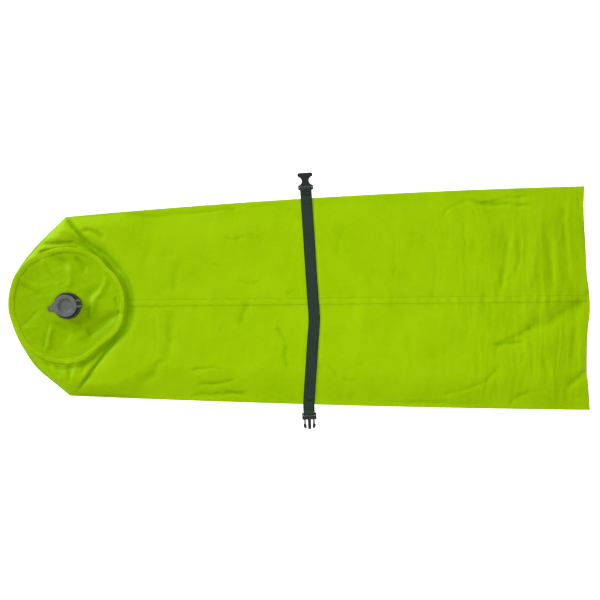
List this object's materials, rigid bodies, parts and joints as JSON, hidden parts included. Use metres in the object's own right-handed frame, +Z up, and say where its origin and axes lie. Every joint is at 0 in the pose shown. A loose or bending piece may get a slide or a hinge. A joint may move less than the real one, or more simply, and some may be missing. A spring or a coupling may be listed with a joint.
{
  "type": "compression sack",
  "caption": "Coated-fabric roll-top sack laid flat, with a capped one-way air valve in its round base and a webbing strap with a side-release buckle across its middle.",
  "frame": {"origin": "bottom centre of the bounding box, on the surface that the sack lies on", "axes": "+X from the base to the mouth, +Y across the sack towards the strap's socket half, +Z up out of the front wall, the way the valve faces"},
  "size_m": [1.015, 0.4475, 0.0278],
  "materials": {
    "sack_fabric": "satin",
    "binding_tape": "satin",
    "seam_thread": "matte",
    "seam_tape": "satin",
    "webbing": "matte",
    "webbing_thread": "matte",
    "valve_plastic": "satin",
    "cap_plastic": "satin",
    "valve_rubber": "matte",
    "hinge_steel": "satin",
    "buckle_plastic": "satin"
  },
  "bodies": {
    "sack": {"tube_main": "sack_fabric", "base_disc": "sack_fabric", "base_seam_binding": "binding_tape", "base_seam_thread": "seam_thread", "seam_tape_main": "seam_tape", "seam_thread_main": "seam_thread", "valve_body": "valve_plastic", "valve_neck": "valve_plastic", "valve_clamp_ring": "valve_plastic", "hinge_pin": "hinge_steel", "strap_middle": "webbing", "strap_backing_tape": "seam_tape", "upper_edge_tack": "webbing_thread", "lower_edge_tack": "webbing_thread"},
    "cap": {"valve_cap": "cap_plastic", "cap_seal": "valve_rubber"},
    "flap": {"valve_flap": "valve_rubber"},
    "roll_1": {"tube_roll_1": "sack_fabric", "seam_tape_roll_1": "seam_tape", "seam_thread_roll_1": "seam_thread"},
    "roll_2": {"tube_roll_2": "sack_fabric", "seam_tape_roll_2": "seam_tape", "seam_thread_roll_2": "seam_thread"},
    "upper_strap": {"upper_strap_end": "webbing", "upper_strap_stitches": "webbing_thread"},
    "female_buckle": {"buckle_female": "buckle_plastic"},
    "lower_strap": {"lower_strap_end": "webbing", "lower_strap_stitches": "webbing_thread"},
    "male_buckle": {"buckle_male": "buckle_plastic"},
    "left_prong": {"prong_left": "buckle_plastic"},
    "right_prong": {"prong_right": "buckle_plastic"}
  },
  "joints": [
    {"name": "cap_hinge", "type": "hinge", "parent": "sack", "child": "cap", "pos_m": [-0.37892, -0.00461, 0.0203], "axis": [-0.1908, 0.9816, 0], "range_deg": [0, 125]},
    {"name": "flap_lift", "type": "slide", "parent": "sack", "child": "flap", "axis": [0, 0, 1], "range_m": [0, 0.0015], "stiffness_N_per_m": 150},
    {"name": "roll_1_fold", "type": "hinge", "parent": "sack", "child": "roll_1", "pos_m": [0.3775, 0.0034, 0.0154], "axis": [0, -1, 0], "range_deg": [0, 180]},
    {"name": "roll_2_fold", "type": "hinge", "parent": "roll_1", "child": "roll_2", "pos_m": [0.4425, 0.004, 0.0101], "axis": [0, -1, 0], "range_deg": [0, 180]},
    {"name": "upper_strap_fold", "type": "hinge", "parent": "sack", "child": "upper_strap", "pos_m": [0.0119, 0.17885, 0.0055], "axis": [0.9979, 0.0645, 0], "range_deg": [0, 150]},
    {"name": "female_buckle_swing", "type": "hinge", "parent": "upper_strap", "child": "female_buckle", "pos_m": [0.01085, 0.19511, 0.0038], "axis": [-0.9979, -0.0645, 0], "range_deg": [-60, 60]},
    {"name": "lower_strap_fold", "type": "hinge", "parent": "sack", "child": "lower_strap", "pos_m": [0.0162, -0.18154, 0.0055], "axis": [-0.999, -0.0436, 0], "range_deg": [0, 150]},
    {"name": "male_buckle_swing", "type": "hinge", "parent": "lower_strap", "child": "male_buckle", "pos_m": [0.01691, -0.19782, 0.0038], "axis": [0.999, 0.0436, 0], "range_deg": [-60, 60]},
    {"name": "left_prong_flex", "type": "hinge", "parent": "male_buckle", "child": "left_prong", "pos_m": [0.02511, -0.20687, 0.0038], "axis": [0, 0, -1], "range_deg": [0, 7], "stiffness_Nm_per_rad": 0.4},
    {"name": "right_prong_flex", "type": "hinge", "parent": "male_buckle", "child": "right_prong", "pos_m": [0.00953, -0.20755, 0.0038], "axis": [0, 0, 1], "range_deg": [0, 7], "stiffness_Nm_per_rad": 0.4}
  ],
  "couplings": [
    {"joint": "right_prong_flex", "follows": "left_prong_flex", "ratio": 1}
  ]
}
